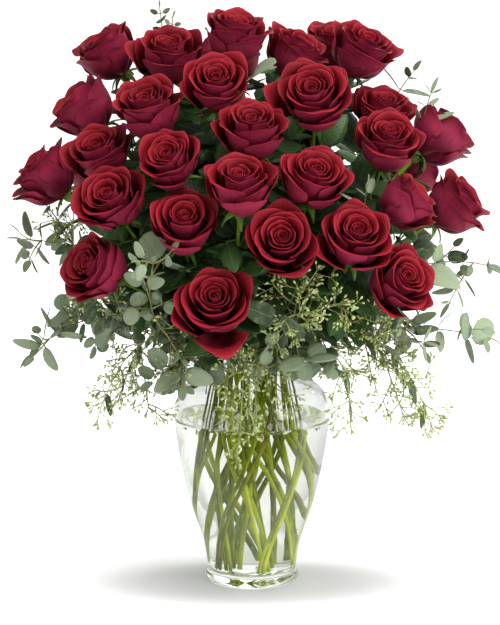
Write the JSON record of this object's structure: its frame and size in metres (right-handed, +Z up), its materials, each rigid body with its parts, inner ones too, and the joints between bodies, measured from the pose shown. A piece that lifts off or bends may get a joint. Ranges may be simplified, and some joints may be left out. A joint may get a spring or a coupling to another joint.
{
  "type": "roses in a vase",
  "caption": "Full domed bouquet of long-stemmed red roses with round-leaved and seeded eucalyptus, standing in a flared clear glass vase filled with water.",
  "frame": {"origin": "middle of the vase's flat underside, where it rests on the table", "axes": "+Z up, the bouquet's front faces -Y, and +X is to the right as seen from the front"},
  "size_m": [0.5159, 0.4044, 0.6052],
  "materials": {
    "vase_glass": "clear polished glass, thick foot",
    "vase_water": "still clear water",
    "petal_red": "velvety red petals",
    "stem_green": "fresh green stems, sepals and rose leaves",
    "eucalyptus_green": "matt grey-green leaves",
    "seed_green": "matt yellow-green seed buds"
  },
  "bodies": {
    "root": {"eucalyptus_back": "eucalyptus_green", "eucalyptus_back_left": "eucalyptus_green", "eucalyptus_back_right": "eucalyptus_green", "eucalyptus_front_left": "eucalyptus_green", "eucalyptus_left": "eucalyptus_green", "eucalyptus_left_low": "eucalyptus_green", "eucalyptus_left_near": "eucalyptus_green", "eucalyptus_right": "eucalyptus_green", "eucalyptus_right_low": "eucalyptus_green", "eucalyptus_right_near": "eucalyptus_green", "glass_vase": "vase_glass", "rose_bloom_01": "petal_red", "rose_bloom_02": "petal_red", "rose_bloom_03": "petal_red", "rose_bloom_04": "petal_red", "rose_bloom_05": "petal_red", "rose_bloom_06": "petal_red", "rose_bloom_07": "petal_red", "rose_bloom_08": "petal_red", "rose_bloom_09": "petal_red", "rose_bloom_10": "petal_red", "rose_bloom_11": "petal_red", "rose_bloom_12": "petal_red", "rose_bloom_13": "petal_red", "rose_bloom_14": "petal_red", "rose_bloom_15": "petal_red", "rose_bloom_16": "petal_red", "rose_bloom_17": "petal_red", "rose_bloom_18": "petal_red", "rose_bloom_19": "petal_red", "rose_bloom_20": "petal_red", "rose_bloom_21": "petal_red", "rose_bloom_22": "petal_red", "rose_bloom_23": "petal_red", "rose_bloom_24": "petal_red", "rose_bloom_25": "petal_red", "rose_bloom_26": "petal_red", "rose_bloom_27": "petal_red", "rose_bloom_28": "petal_red", "rose_bloom_29": "petal_red", "rose_bloom_30": "petal_red", "rose_bloom_31": "petal_red", "rose_bloom_32": "petal_red", "rose_bloom_33": "petal_red", "rose_bloom_34": "petal_red", "rose_bloom_35": "petal_red", "rose_bloom_36": "petal_red", "rose_stems": "stem_green", "seeded_back_left": "seed_green", "seeded_back_right": "seed_green", "seeded_front": "seed_green", "seeded_front_right": "seed_green", "seeded_left": "seed_green", "seeded_right": "seed_green", "seeded_right_near": "seed_green", "water": "vase_water"}
  },
  "joints": []
}
